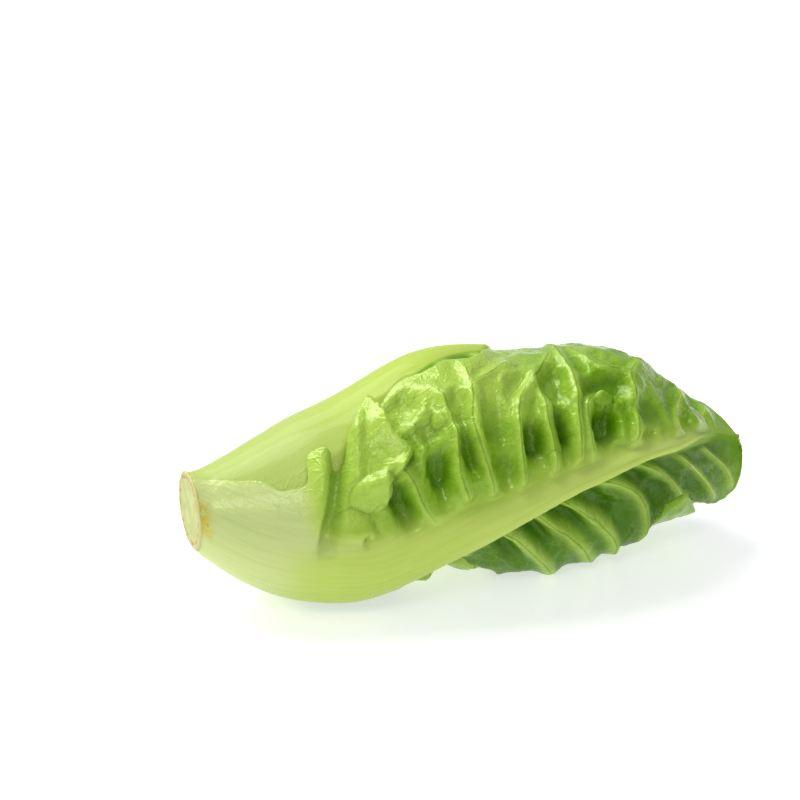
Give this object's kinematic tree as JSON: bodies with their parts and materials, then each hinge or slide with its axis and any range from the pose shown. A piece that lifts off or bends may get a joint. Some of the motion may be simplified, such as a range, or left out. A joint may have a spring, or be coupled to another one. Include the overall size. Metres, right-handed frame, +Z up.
{
  "type": "lettuce head",
  "caption": "Small head of cos lettuce lying on its side: crinkled leaves with pale ribs, wrapped in a spiral round a short cut stem.",
  "frame": {"origin": "centre of the footprint, on the surface that the head lies on", "axes": "+X from the cut stem to the leaf tips; +Z up; the outermost leaf's rib faces -Y, the front"},
  "size_m": [0.155, 0.0594, 0.0605],
  "materials": {
    "stem_tissue": "damp cut stem, satin",
    "outer_leaf_tissue": "waxy green leaf, satin",
    "middle_leaf_tissue": "waxy light green leaf, satin",
    "heart_leaf_tissue": "waxy yellow-green leaf, satin"
  },
  "bodies": {
    "root": {"stem": "stem_tissue", "outer_leaf_1": "outer_leaf_tissue", "outer_leaf_2": "outer_leaf_tissue", "outer_leaf_3": "outer_leaf_tissue", "outer_leaf_4": "outer_leaf_tissue", "middle_leaf_1": "middle_leaf_tissue", "middle_leaf_2": "middle_leaf_tissue", "middle_leaf_3": "middle_leaf_tissue", "middle_leaf_4": "middle_leaf_tissue", "heart_leaf_1": "heart_leaf_tissue", "heart_leaf_2": "heart_leaf_tissue", "heart_leaf_3": "heart_leaf_tissue", "heart_leaf_4": "heart_leaf_tissue"}
  },
  "joints": []
}
